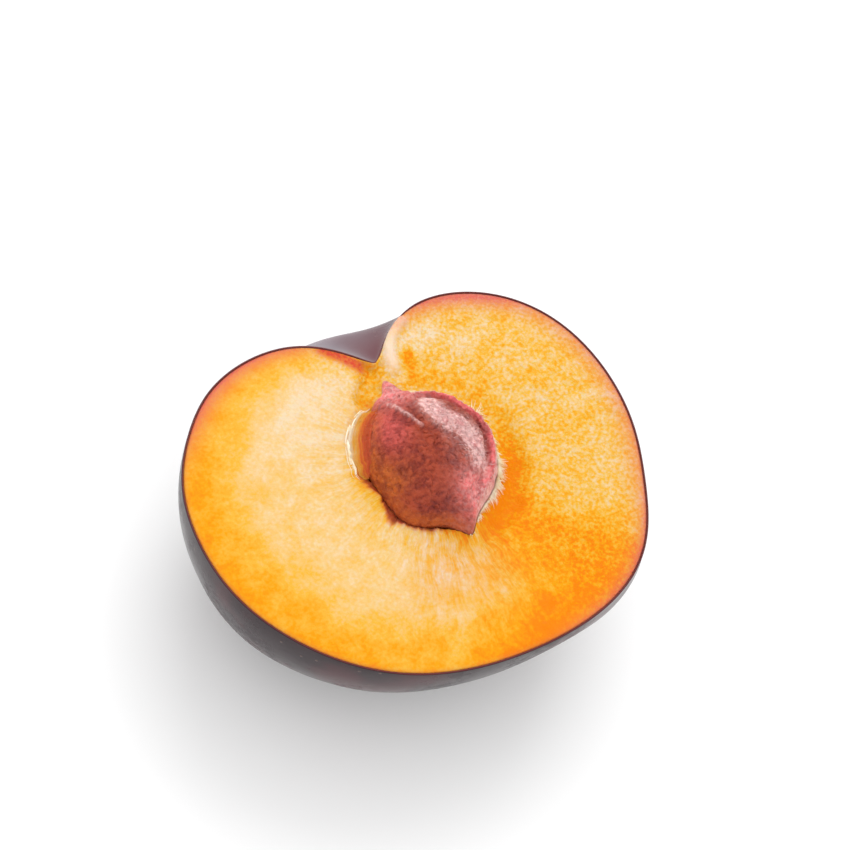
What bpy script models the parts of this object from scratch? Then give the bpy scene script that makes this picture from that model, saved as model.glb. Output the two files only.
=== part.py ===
"""Half a plum as cut, with its stone still in it: skin, flesh and stone.

Metres, +Z up. The half rests on a small flat spot on its round back, with the cut face up and level.
The origin is the middle of that flat spot. +X points to the seam side and +Y to the stem side.
The fruit and the stone are first worked out in the frame of the cut face, whose origin is on the
stem axis in the cut, and then moved to the part's own origin.
"""

import math

import bmesh
import bpy
from mathutils import Vector

# Fruit, in the frame of the cut face
HALF_WIDTH = 0.02992
WIDTH_LEAN = 0.00115
HALF_LENGTH = 0.02432
LENGTH_TAPER = 0.00393
DEPTH = 0.0255
CUT_SQUARENESS = 0.062
BACK_SQUARENESS = 0.070
CHEEK_FLATNESS = 0.034
CHEEK_TURN = math.radians(-30)
CHEEK_SPREAD = 0.30

# Low swells and dips of the outline in the cut: turn, spread and height of each
SWELLS = (
    (math.radians(-165), math.radians(17), 0.00065),
    (math.radians(154), math.radians(13), -0.0006),
)

# Swollen shoulder under the cut, on the stem side
HUNCH_REACH = 0.0021
HUNCH_X = -0.0011
HUNCH_Z = -0.0045
HUNCH_HALF_WIDTH = 0.0072
HUNCH_HALF_THROUGH = 0.0017

# Stem cavity at the top of the heart and seam groove down the +X side
CAVITY_DEPTH = 0.0065
CAVITY_X = 0.0007
CAVITY_HALF_WIDTH = 0.0053
CAVITY_HALF_THROUGH = 0.0028
CAVITY_SHARPNESS = 1.3
SEAM_DEPTH = 0.0009
SEAM_HALF_WIDTH = 0.0026
SEAM_FADE = (0.10, 0.70)

# Flat spot that the half rests on, under its weight
FLAT_CENTRE = Vector((-0.0004, -0.0020))
FLAT_RADIUS = 0.0040
FLAT_TRIM = 0.0008
FLAT_BLEND = 0.0002
FACE_HEIGHT = DEPTH - FLAT_TRIM

# Layers
SKIN_THICKNESS = 0.0006
CLEARANCE = 0.0003

# Stone, half sunk in the cut face
STONE_CENTRE = Vector((0.0004, -0.0007))
STONE_HALF_WIDTH = 0.0083
STONE_HALF_LENGTH = 0.0090
STONE_HALF_THICKNESS = 0.0052
STONE_CROWN = 2.2
STONE_FULLNESS = 0.60
NUB_LENGTH = 0.0024
NUB_TURN = math.radians(90)
NUB_SPREAD = math.radians(6)
NUB_FLATNESS = 0.55
NUB_PLACES = (0.60, 0.85)
TIP_LENGTH = 0.0024
TIP_TURN = math.radians(-93)
TIP_SPREAD = math.radians(9)
BULGE_REACH = 0.0013
BULGE_TURN = math.radians(-135)
BULGE_SPREAD = math.radians(22)
FLANK_REACH = 0.0005
FLANK_TURN = math.radians(106)
FLANK_SPREAD = math.radians(10)
SHOULDER_REACH = 0.00045
SHOULDER_TURN = math.radians(8)
SHOULDER_SPREAD = math.radians(30)
KEEL_TURN = math.radians(-2)
KEEL_SPREAD = math.radians(70)
KEEL_HEIGHT = 0.0005
KEEL_PLACE = 0.90
GROOVE_DEPTH = 0.0007
GROOVE_PLACE = 0.74
KEEL_HALF_WIDTH = 0.075

# Cut face of the flesh
GAP_EXTRA = 0.0009
GAP_TURN = math.radians(200)
GAP_SPREAD = math.radians(55)
GAP_WAVE = 0.0004
GAP_WAVES = 7
VALLEY_DEPTH = 0.0008
VALLEY_OFFSET = 0.0028
VALLEY_HALF_WIDTH = 0.0018
VALLEY_TURN = math.radians(-52)
VALLEY_SPREAD = math.radians(60)
CHANNEL_DEPTH = 0.0009
CHANNEL_TOP = Vector((0.0008, 0.0144))
CHANNEL_SLANT = 0.68
CHANNEL_HALF_WIDTH = 0.0019
CHANNEL_START = 0.0080
CHANNEL_FADE = 0.0025
LIP_HEIGHT = 0.0006
LIP_CENTRE = Vector((0.0043, 0.0148))
LIP_HALF_WIDTH = 0.0024

# Fineness of the meshes
SECTORS = 72
NOTCH_CROWDING = 0.45
BACK_RINGS = 13
BACK_CROWDING = 1.25
FACE_RINGS = 8
FACE_CROWDING = 1.2
RECESS_RINGS = 6
RECESS_CAP = 0.6
NORMAL_STEP = 0.002
STONE_RING_PLACES = (0.96, 0.90, 0.82, 0.74, 0.65, 0.52, 0.36, 0.18)
SHARP_ANGLE = math.radians(40)

# Colour, roughness and metallic value of each layer
SKIN_LOOK = ((0.030, 0.014, 0.026, 1.0), 0.28, 0.0)
FLESH_LOOK = ((0.90, 0.45, 0.075, 1.0), 0.42, 0.0)
STONE_LOOK = ((0.30, 0.065, 0.050, 1.0), 0.62, 0.0)


def clear_scene():
    """Removes every object of the scene."""
    for old in list(bpy.data.objects):
        bpy.data.objects.remove(old, do_unlink=True)


def smooth_step(low, high, value):
    """Rises smoothly from 0 at low to 1 at high."""
    t = min(max((value - low) / (high - low), 0.0), 1.0)
    return t * t * (3.0 - 2.0 * t)


def bell(offset, spread, power=2.0):
    """Falls smoothly from 1 at no offset to nearly 0 at twice the spread."""
    return math.exp(-abs(offset / spread) ** power)


def turn_between(turn, centre):
    """The shortest angle from centre to turn."""
    return math.atan2(math.sin(turn - centre), math.cos(turn - centre))


def sector_turns():
    """Angles round the face, closer together at the notch of the heart."""
    turns = []
    for index in range(SECTORS):
        even = math.tau * index / SECTORS
        turns.append(even + NOTCH_CROWDING * math.cos(even))
    return turns


def level_off(height):
    """Cuts the round back off at the flat spot, with a short smooth blend."""
    floor = -FACE_HEIGHT
    above = height - floor
    if above >= FLAT_BLEND:
        return height
    if above <= -FLAT_BLEND:
        return floor
    return floor + (above + FLAT_BLEND) ** 2 / (4.0 * FLAT_BLEND)


def fruit_point(turn, fall):
    """A point of the fruit's outside; fall is 0 at the cut and a right angle at the bottom."""
    vx = math.cos(fall) * math.cos(turn)
    vy = math.cos(fall) * math.sin(turn)
    vz = -math.sin(fall)
    wide = HALF_WIDTH - WIDTH_LEAN * vx
    long = HALF_LENGTH - LENGTH_TAPER * vy
    reach = ((vx / wide) ** 2 + (vy / long) ** 2 + (vz / DEPTH) ** 2) ** -0.5
    reach *= 1.0 + 4.0 * (CUT_SQUARENESS * (vx * vy) ** 2 + BACK_SQUARENESS * (vz * vx) ** 2)
    cheek = bell(turn_between(turn, CHEEK_TURN), CHEEK_SPREAD) * math.cos(fall) ** 2
    reach *= 1.0 - CHEEK_FLATNESS * cheek
    for centre, spread, height in SWELLS:
        reach += height * bell(turn_between(turn, centre), spread) * math.cos(fall) ** 4

    below = reach * vz
    seam_side = smooth_step(*SEAM_FADE, math.cos(turn)) * math.cos(fall) ** 2
    reach += SEAM_DEPTH * seam_side * (1.0 - bell(below, SEAM_HALF_WIDTH))

    x = reach * vx
    y = reach * vy
    z = reach * vz
    if vy > 0.0:
        spread = math.hypot((x - CAVITY_X) / CAVITY_HALF_WIDTH, z / CAVITY_HALF_THROUGH)
        y -= CAVITY_DEPTH * bell(spread, 1.0, CAVITY_SHARPNESS)
        y += HUNCH_REACH * bell(x - HUNCH_X, HUNCH_HALF_WIDTH) * bell(z - HUNCH_Z, HUNCH_HALF_THROUGH)
    sunk = (z / DEPTH) ** 2
    x += FLAT_CENTRE.x * sunk
    y += FLAT_CENTRE.y * sunk
    return Vector((x, y, level_off(z)))


def fruit_normal(turn, fall):
    """The outward direction of the fruit's outside at a point."""
    along = fruit_point(turn + NORMAL_STEP, fall) - fruit_point(turn - NORMAL_STEP, fall)
    down = fruit_point(turn, fall + NORMAL_STEP) - fruit_point(turn, fall - NORMAL_STEP)
    return down.cross(along).normalized()


def layer_point(turn, fall, inset):
    """A point of the outside moved in by inset, kept level in the cut and on the flat spot."""
    point = fruit_point(turn, fall)
    if inset == 0.0:
        return point
    normal = fruit_normal(turn, fall)
    if point.z <= -FACE_HEIGHT:
        normal = Vector((0.0, 0.0, -1.0))
    moved = point - normal * inset
    if fall == 0.0:
        moved.z = 0.0
    return moved


def back_falls():
    """Fall angles of the rings of the back, from the cut to the edge of the flat spot."""
    last = math.acos(FLAT_RADIUS / HALF_WIDTH)
    return [last * (ring / BACK_RINGS) ** BACK_CROWDING for ring in range(BACK_RINGS + 1)]


def back_rings(inset):
    """Rings of points of the round back, from the cut down, at one depth under the outside."""
    turns = sector_turns()
    return [[layer_point(turn, fall, inset) for turn in turns] for fall in back_falls()]


def stone_reach(turn):
    """Distance from the stone's middle to its outline in the cut, with its nub and its tip."""
    across = math.cos(turn) / STONE_HALF_WIDTH
    along = math.sin(turn) / STONE_HALF_LENGTH
    reach = (across ** 2 + along ** 2) ** -0.5
    reach += NUB_LENGTH * bell(turn_between(turn, NUB_TURN), NUB_SPREAD)
    reach += TIP_LENGTH * bell(turn_between(turn, TIP_TURN), TIP_SPREAD, 1.4)
    reach += BULGE_REACH * bell(turn_between(turn, BULGE_TURN), BULGE_SPREAD)
    reach += FLANK_REACH * bell(turn_between(turn, FLANK_TURN), FLANK_SPREAD)
    reach += SHOULDER_REACH * bell(turn_between(turn, SHOULDER_TURN), SHOULDER_SPREAD)
    return reach


def stone_height(place, turn):
    """Height of the stone over the cut at a place between its middle, 0, and its outline, 1."""
    side = bell(turn_between(turn, KEEL_TURN), KEEL_SPREAD, 4.0)
    height = STONE_HALF_THICKNESS * (1.0 - place ** STONE_CROWN) ** STONE_FULLNESS
    height += side * KEEL_HEIGHT * bell(place - KEEL_PLACE, KEEL_HALF_WIDTH)
    height -= side * GROOVE_DEPTH * bell(place - GROOVE_PLACE, KEEL_HALF_WIDTH)
    nub = bell(turn_between(turn, NUB_TURN), 1.4 * NUB_SPREAD) * smooth_step(*NUB_PLACES, place)
    return height * (1.0 - NUB_FLATNESS * nub)


def recess_reach(turn):
    """Distance from the stone's middle to the edge of its hollow, which gapes on the left."""
    gape = bell(turn_between(turn, GAP_TURN), GAP_SPREAD, 4.0)
    wave = GAP_WAVE * math.sin(GAP_WAVES * turn)
    return stone_reach(turn) + CLEARANCE + gape * (GAP_EXTRA + wave)


def stone_polar(turn, reach, height):
    """A point given by its turn and reach from the stone's middle."""
    x = STONE_CENTRE.x + reach * math.cos(turn)
    y = STONE_CENTRE.y + reach * math.sin(turn)
    return Vector((x, y, height))


def face_relief(point, edge, rim, turn):
    """Height of the cut flesh over the plane of the cut, level again at its rim."""
    out = (point - edge).length
    share = out / (rim - edge).length
    valley = bell(out - VALLEY_OFFSET, VALLEY_HALF_WIDTH)
    valley *= bell(turn_between(turn, VALLEY_TURN), VALLEY_SPREAD, 4.0)
    middle = CHANNEL_TOP.x + CHANNEL_SLANT * (point.y - CHANNEL_TOP.y)
    channel = bell(point.x - middle, CHANNEL_HALF_WIDTH)
    channel *= smooth_step(CHANNEL_START, CHANNEL_START + CHANNEL_FADE, point.y)
    lip = bell((point.xy - LIP_CENTRE).length, LIP_HALF_WIDTH)
    height = LIP_HEIGHT * lip - VALLEY_DEPTH * valley - CHANNEL_DEPTH * channel
    return height * (1.0 - share ** 8)


def face_rings():
    """Rings of points of the cut flesh, from just inside its rim in to the edge of the hollow."""
    turns = sector_turns()
    rims = [layer_point(turn, 0.0, SKIN_THICKNESS + CLEARANCE) for turn in turns]
    edges = [stone_polar(turn, recess_reach(turn), 0.0) for turn in turns]
    rings = []
    for ring in range(1, FACE_RINGS + 1):
        share = 1.0 - ring / FACE_RINGS
        points = []
        for turn, rim, edge in zip(turns, rims, edges):
            point = edge.lerp(rim, share ** FACE_CROWDING)
            point.z = face_relief(point, edge, rim, turn)
            points.append(point)
        rings.append(points)
    return rings


def recess_rings():
    """Rings of points of the stone's hollow, from under its edge down."""
    rings = []
    for ring in range(1, RECESS_RINGS + 1):
        slope = 0.5 * math.pi * ring / (RECESS_RINGS + RECESS_CAP)
        place = math.cos(slope)
        depth = (STONE_HALF_THICKNESS + CLEARANCE) * math.sin(slope)
        rings.append([stone_polar(turn, place * recess_reach(turn), -depth) for turn in sector_turns()])
    return rings


def stone_top_rings():
    """Rings of points of the stone over the cut, from its middle out to its outline."""
    rings = []
    for place in reversed(STONE_RING_PLACES):
        rings.append([
            stone_polar(turn, place * stone_reach(turn), stone_height(place, turn))
            for turn in sector_turns()
        ])
    rings.append([stone_polar(turn, stone_reach(turn), 0.0) for turn in sector_turns()])
    return rings


def stone_under_rings():
    """Rings of points of the stone under the cut, which follow its hollow at the clearance."""
    rings = []
    for ring in range(1, RECESS_RINGS + 1):
        slope = 0.5 * math.pi * ring / (RECESS_RINGS + RECESS_CAP)
        place = math.cos(slope)
        depth = STONE_HALF_THICKNESS * math.sin(slope)
        rings.append([stone_polar(turn, place * stone_reach(turn), -depth) for turn in sector_turns()])
    return rings


def material(name, look):
    """A plain glossy or dull material with one colour."""
    colour, roughness, metallic = look
    made = bpy.data.materials.new(name)
    made.use_nodes = True
    shader = made.node_tree.nodes["Principled BSDF"]
    shader.inputs["Base Color"].default_value = colour
    shader.inputs["Roughness"].default_value = roughness
    shader.inputs["Metallic"].default_value = metallic
    made.diffuse_color = colour
    return made


def closed_shape(name, rings, look):
    """Bridges rings of points and caps both ends, moved from the cut's frame to the part's."""
    mesh = bpy.data.meshes.new(name)
    shape = bmesh.new()
    shift = Vector((-FLAT_CENTRE.x, -FLAT_CENTRE.y, FACE_HEIGHT))
    loops = [[shape.verts.new(point + shift) for point in ring] for ring in rings]
    for upper, lower in zip(loops, loops[1:]):
        for index in range(SECTORS):
            after = (index + 1) % SECTORS
            shape.faces.new((upper[index], lower[index], lower[after], upper[after]))
    shape.faces.new(loops[0])
    shape.faces.new(reversed(loops[-1]))
    bmesh.ops.recalc_face_normals(shape, faces=shape.faces)
    shape.to_mesh(mesh)
    shape.free()
    mesh.shade_smooth()
    mesh.set_sharp_from_angle(angle=SHARP_ANGLE)
    made = bpy.data.objects.new(name, mesh)
    bpy.context.scene.collection.objects.link(made)
    mesh.materials.append(material("plum " + name, look))
    return made


def build_skin():
    """The peel: the inside and the outside of a thin bowl, joined by its flat rim in the cut."""
    inside = back_rings(SKIN_THICKNESS)
    outside = back_rings(0.0)
    return closed_shape("skin", list(reversed(inside)) + outside, SKIN_LOOK)


def build_flesh():
    """The flesh: its round back against the skin, the cut face and the stone's hollow."""
    back = back_rings(SKIN_THICKNESS + CLEARANCE)
    return closed_shape("flesh", list(reversed(back)) + face_rings() + recess_rings(), FLESH_LOOK)


def build_stone():
    """The stone: keeled top over the cut and plain underside in its hollow."""
    return closed_shape("stone", stone_top_rings() + stone_under_rings(), STONE_LOOK)


clear_scene()
build_skin()
build_flesh()
build_stone()
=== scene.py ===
"""Half a plum with its stone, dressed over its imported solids: peel, flesh, stone and torn fibres.

Metres, +Z up. The half rests on its round back with the cut face up. The fruit is worked out in the
frame of the cut face, whose origin is on the stem axis in the cut, and then moved to the part's own.
"""

import logging
import math
from collections.abc import Sequence
from dataclasses import dataclass, field
from enum import Enum
from typing import ClassVar

import bpy
import numpy as np
from bpy.types import Material, NodeSocket, NodeTree, Object
from mathutils import Matrix, Vector

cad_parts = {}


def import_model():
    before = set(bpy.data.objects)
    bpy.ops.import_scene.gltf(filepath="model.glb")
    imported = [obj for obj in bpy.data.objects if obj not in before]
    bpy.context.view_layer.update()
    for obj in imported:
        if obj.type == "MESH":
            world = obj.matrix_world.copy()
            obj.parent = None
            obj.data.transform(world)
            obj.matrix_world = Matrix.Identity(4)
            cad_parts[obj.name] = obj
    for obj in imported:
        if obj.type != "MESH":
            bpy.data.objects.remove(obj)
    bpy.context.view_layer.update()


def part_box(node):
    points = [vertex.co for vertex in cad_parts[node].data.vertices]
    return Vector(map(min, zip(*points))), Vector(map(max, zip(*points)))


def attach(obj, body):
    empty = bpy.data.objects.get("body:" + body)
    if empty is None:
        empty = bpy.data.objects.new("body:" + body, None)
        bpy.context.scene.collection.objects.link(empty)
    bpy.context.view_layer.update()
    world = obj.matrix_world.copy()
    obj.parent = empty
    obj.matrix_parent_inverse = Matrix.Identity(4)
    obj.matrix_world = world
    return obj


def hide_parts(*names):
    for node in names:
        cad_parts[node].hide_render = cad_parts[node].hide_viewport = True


MM = 0.001
RIGHT_ANGLE = 0.5 * math.pi
Array = np.ndarray
Triple = tuple[float, float, float]
Colour = Triple
Line = tuple[tuple[float, float], ...]
log = logging.getLogger("plum")


class Layer(Enum):
    """The layers of the fruit, each with the name of its node."""

    PEEL = "skin"
    FLESH = "flesh"
    STONE = "stone"


def bell(offset: Array, spread: float, power: float = 2.0) -> Array:
    """Falls smoothly from 1 at no offset to nearly 0 at twice the spread."""
    return np.exp(-np.abs(offset / spread) ** power)


def step_up(low: float, high: float, value: Array) -> Array:
    """Rises smoothly from 0 at low to 1 at high."""
    t = np.clip((value - low) / (high - low), 0.0, 1.0)
    return t * t * (3.0 - 2.0 * t)


def turned(turn: Array, centre: float) -> Array:
    """The shortest angle from centre to each turn."""
    return np.arctan2(np.sin(turn - centre), np.cos(turn - centre))


def sector(turn: Array, centre: float, spread: float, power: float = 4.0) -> Array:
    """1 in a sector round a bearing, 0 elsewhere; centre and spread are in degrees."""
    return bell(turned(turn, math.radians(centre)), math.radians(spread), power)


def mixed(first: Array, second: Array, share: Array) -> Array:
    """Goes from first at share 0 to second at share 1."""
    return first + (second - first) * share


def along_line(x: Array, y: Array, corners: Line, width: float, power: float = 2.0) -> Array:
    """1 on a line through corners, falling to 0 beside it.

    Args:
        x: First coordinates, in metres.
        y: Second coordinates, in metres.
        corners: Corners of the line, in millimetres.
        width: Half the width of the band, in millimetres.
        power: How sharply the band ends.

    Returns:
        How much each point belongs to the line.
    """
    nearest = np.full(np.shape(x), np.inf)
    for start, end in zip(corners, corners[1:]):
        (from_x, from_y), (to_x, to_y) = start, end
        east, north = x / MM - from_x, y / MM - from_y
        run, rise = to_x - from_x, to_y - from_y
        share = np.clip((east * run + north * rise) / (run * run + rise * rise), 0.0, 1.0)
        nearest = np.minimum(nearest, np.hypot(east - share * run, north - share * rise))
    return bell(nearest, width, power)


@dataclass(frozen=True)
class Patch:
    """A soft patch: an amount round a bearing in degrees and, if width is given, round a place on the way."""

    amount: float
    bearing: float
    spread: float
    place: float = 0.0
    width: float = math.inf
    power: float = 4.0

    def at(self, turn: Array, along: Array | float = 0.0) -> Array:
        """What it adds at each turn and place along the way."""
        round_bearing = sector(turn, self.bearing, self.spread, self.power)
        return self.amount * round_bearing * bell(along - self.place, self.width)


def total(patches: Sequence[Patch], turn: Array, along: Array | float = 0.0) -> Array:
    """Adds several patches up."""
    return sum(patch.at(turn, along) for patch in patches)


class Grain:
    """Smooth seeded noise over two or three coordinates, from -1 to 1."""

    cells: int = 64
    layer_shift: float = 7.3

    def __init__(self, seed: int) -> None:
        """Draws the lattice values.

        Args:
            seed: Number that fixes the draw.
        """
        self.values = np.random.default_rng(seed).uniform(-1.0, 1.0, (self.cells,) * 3)

    def at(self, x: Array, y: Array, z: Array | float = 0.0) -> Array:
        """Reads the noise at points given in units of its cells.

        Args:
            x: First coordinate.
            y: Second coordinate.
            z: Third coordinate.

        Returns:
            The noise at each point.
        """
        coordinates = np.broadcast_arrays(x, y, z)
        cells = [np.floor(value).astype(int) for value in coordinates]
        parts = [value - cell for value, cell in zip(coordinates, cells)]
        eased = [step_up(0.0, 1.0, part) for part in parts]
        total = np.zeros_like(parts[0])
        for corner in range(8):
            picks = [(corner >> axis) & 1 for axis in range(3)]
            weight = np.ones_like(total)
            for pick, ease in zip(picks, eased):
                weight *= ease if pick else 1.0 - ease
            index = tuple((cell + pick) % self.cells for cell, pick in zip(cells, picks))
            total += weight * self.values[index]
        return total

    def layered(self, x: Array, y: Array, z: Array | float = 0.0, layers: int = 3) -> Array:
        """Adds finer and fainter copies of the noise.

        Args:
            x: First coordinate.
            y: Second coordinate.
            z: Third coordinate.
            layers: How many copies are added.

        Returns:
            The layered noise at each point, about -1 to 1.
        """
        total = np.zeros_like(np.broadcast_arrays(x, y, z)[0], dtype=float)
        for layer in range(layers):
            scale = 2.0 ** layer
            total += self.at(x * scale + self.layer_shift * layer, y * scale, z * scale) / scale
        return total / (2.0 - 2.0 ** (1 - layers))


@dataclass(frozen=True)
class FruitForm:
    """Size and shape of the fruit, as in the solids."""

    half_width: float = 29.92 * MM
    width_lean: float = 1.15 * MM
    half_length: float = 24.32 * MM
    length_taper: float = 3.93 * MM
    depth: float = 25.5 * MM
    cut_squareness: float = 0.062
    back_squareness: float = 0.070
    swells: tuple[Patch, ...] = (
        Patch(0.65 * MM, -165, 17, power=2.0),
        Patch(-0.60 * MM, 154, 13, power=2.0),
    )
    cheek_flatness: float = 0.034
    cheek_turn: float = math.radians(-30)
    cheek_spread: float = 0.30
    cavity_depth: float = 6.5 * MM
    cavity_x: float = 0.7 * MM
    cavity_half_width: float = 5.3 * MM
    cavity_half_through: float = 2.8 * MM
    cavity_sharpness: float = 1.3
    hunch: float = 2.1 * MM
    hunch_x: float = -1.1 * MM
    hunch_z: float = -4.5 * MM
    hunch_half_width: float = 7.2 * MM
    hunch_half_through: float = 1.7 * MM
    seam_depth: float = 0.9 * MM
    seam_half_width: float = 2.6 * MM
    seam_start: float = 0.10
    seam_full: float = 0.70
    flat_x: float = -0.4 * MM
    flat_y: float = -2.0 * MM
    flat_blend: float = 0.2 * MM
    flat_radius: float = 4.0 * MM
    face_height: float = 24.7 * MM

    def outside(self, turn: Array, fall: Array) -> Array:
        """Points of the outside, in the frame of the cut.

        Args:
            turn: Angle round the face from +X.
            fall: Angle down from the cut, 0 at the rim and a right angle at the bottom.

        Returns:
            An array of points.
        """
        turn, fall = np.broadcast_arrays(turn, fall)
        vx = np.cos(fall) * np.cos(turn)
        vy = np.cos(fall) * np.sin(turn)
        vz = -np.sin(fall)
        wide = self.half_width - self.width_lean * vx
        long = self.half_length - self.length_taper * vy
        reach = ((vx / wide) ** 2 + (vy / long) ** 2 + (vz / self.depth) ** 2) ** -0.5
        square = self.cut_squareness * (vx * vy) ** 2 + self.back_squareness * (vz * vx) ** 2
        reach *= 1.0 + 4.0 * square
        cheek = bell(turned(turn, self.cheek_turn), self.cheek_spread) * np.cos(fall) ** 2
        reach *= 1.0 - self.cheek_flatness * cheek
        reach += total(self.swells, turn) * np.cos(fall) ** 4
        seam_side = step_up(self.seam_start, self.seam_full, np.cos(turn)) * np.cos(fall) ** 2
        reach += self.seam_depth * seam_side * (1.0 - bell(reach * vz, self.seam_half_width))
        x, y, z = reach * vx, reach * vy, reach * vz
        spread = np.hypot((x - self.cavity_x) / self.cavity_half_width, z / self.cavity_half_through)
        hunch = self.hunch * bell(x - self.hunch_x, self.hunch_half_width)
        hunch *= bell(z - self.hunch_z, self.hunch_half_through)
        y += np.where(vy > 0.0, hunch - self.cavity_depth * bell(spread, 1.0, self.cavity_sharpness), 0.0)
        sunk = (z / self.depth) ** 2
        return np.stack([x + self.flat_x * sunk, y + self.flat_y * sunk, self.levelled(z)], -1)

    def levelled(self, height: Array) -> Array:
        """Cuts the back off at the flat spot, with a short smooth blend.

        Args:
            height: Heights in the frame of the cut.

        Returns:
            The heights, none below the flat spot.
        """
        above = height + self.face_height
        blend = -self.face_height + (above + self.flat_blend) ** 2 / (4.0 * self.flat_blend)
        inner = np.where(above <= -self.flat_blend, -self.face_height, blend)
        return np.where(above >= self.flat_blend, height, inner)

    def inset(self, turn: Array, fall: Array, depth: Array | float) -> Array:
        """Points under the outside, level in the cut and on the flat spot.

        Args:
            turn: Angle round the face.
            fall: Angle down from the cut.
            depth: How far under the outside, which may be below zero.

        Returns:
            An array of points.
        """
        small = 0.002
        turn, fall = np.broadcast_arrays(turn, fall)
        along = self.outside(turn + small, fall) - self.outside(turn - small, fall)
        down = self.outside(turn, fall + small) - self.outside(turn, fall - small)
        normal = np.cross(down, along)
        normal /= np.linalg.norm(normal, axis=-1, keepdims=True)
        point = self.outside(turn, fall)
        flat = point[..., 2] <= -self.face_height
        normal[flat] = (0.0, 0.0, -1.0)
        normal[..., 2] = np.where(fall == 0.0, 0.0, normal[..., 2])
        return point - normal * np.broadcast_to(depth, turn.shape)[..., None]

    def to_part(self, points: Array) -> Array:
        """Moves points from the frame of the cut to the part's own."""
        return points + np.array([-self.flat_x, -self.flat_y, self.face_height])

    def to_cut(self, points: Array) -> Array:
        """Moves points from the part's own frame to that of the cut."""
        return points - self.to_part(np.zeros(3))


@dataclass(frozen=True)
class StoneForm:
    """Size and shape of the stone and of its hollow, in the frame of the cut."""

    x: float = 0.4 * MM
    y: float = -0.7 * MM
    half_width: float = 8.3 * MM
    half_length: float = 9.0 * MM
    half_thickness: float = 5.2 * MM
    crown: float = 2.2
    fullness: float = 0.60
    swells: tuple[Patch, ...] = (
        Patch(2.4 * MM, 90, 5.5, power=2.0),
        Patch(2.4 * MM, -93, 9, power=1.4),
        Patch(1.3 * MM, -135, 22, power=2.0),
        Patch(0.5 * MM, 106, 10, power=2.0),
        Patch(0.45 * MM, 8, 30, power=2.0),
    )
    gapes: tuple[Patch, ...] = (
        Patch(1.05, 152, 36, power=6.0),
        Patch(1.05, 212, 7.5, power=2.0),
        Patch(0.2, 243, 16),
    )
    slack: float = 0.30
    grip: float = 0.32
    clearance: float = 0.3 * MM
    # Arc of the stone's pale shoulder, where the fuzz grows and a painted sheen lies.
    pale_arc: Line = ((1.5, 4.7), (1.7, 2.8), (2.5, 1.7), (3.4, 0.7), (4.0, -0.9), (4.1, -2.4), (3.9, -4.0))
    grain: Grain = field(default_factory=lambda: Grain(11))

    def reach(self, turn: Array) -> Array:
        """Distance from the middle to the smooth outline, with the nub and the tip."""
        east, north = np.cos(turn) / self.half_width, np.sin(turn) / self.half_length
        return (east ** 2 + north ** 2) ** -0.5 + total(self.swells, turn)

    def tight(self, turn: Array) -> Array:
        """How close the flesh lies against the stone: 1 from the nub over the right to the tip."""
        return sector(turn, 2, 106, 8.0)

    def torn(self, turn: Array) -> Array:
        """How ragged the edge of the hollow is: 1 along the bottom left, 0 elsewhere."""
        return sector(turn, 210, 48)

    def edge(self, turn: Array) -> Array:
        """Distance from the stone's middle to the ragged edge of its hollow.

        Args:
            turn: Angle round the stone.

        Returns:
            The distance at each angle.
        """
        east, north = np.cos(turn), np.sin(turn)
        ragged = self.grain.layered(9.0 * east, 9.0 * north)
        bites = np.abs(self.grain.at(17.0 * east + 3.0, 17.0 * north))
        rough = (0.10 + 0.22 * self.torn(turn)) * ragged + 0.45 * self.torn(turn) * bites
        gap = self.slack - self.grip * self.tight(turn) + total(self.gapes, turn) + rough
        return self.reach(turn) + gap * MM

    def bearings(self, points: Array) -> tuple[Array, Array]:
        """Turn round the stone's middle and distance from it, for points in the frame of the cut."""
        east, north = points[:, 0] - self.x, points[:, 1] - self.y
        return np.arctan2(north, east), np.hypot(east, north)

    def polar(self, turn: Array, reach: Array, height: Array | float) -> Array:
        """Points at a turn and reach from the stone's middle.

        Args:
            turn: Angle round the stone.
            reach: Distance from the middle.
            height: Height over the cut.

        Returns:
            The points, in the frame of the cut.
        """
        x = self.x + reach * np.cos(turn)
        y = self.y + reach * np.sin(turn)
        return np.stack(np.broadcast_arrays(x, y, height), -1)


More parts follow.
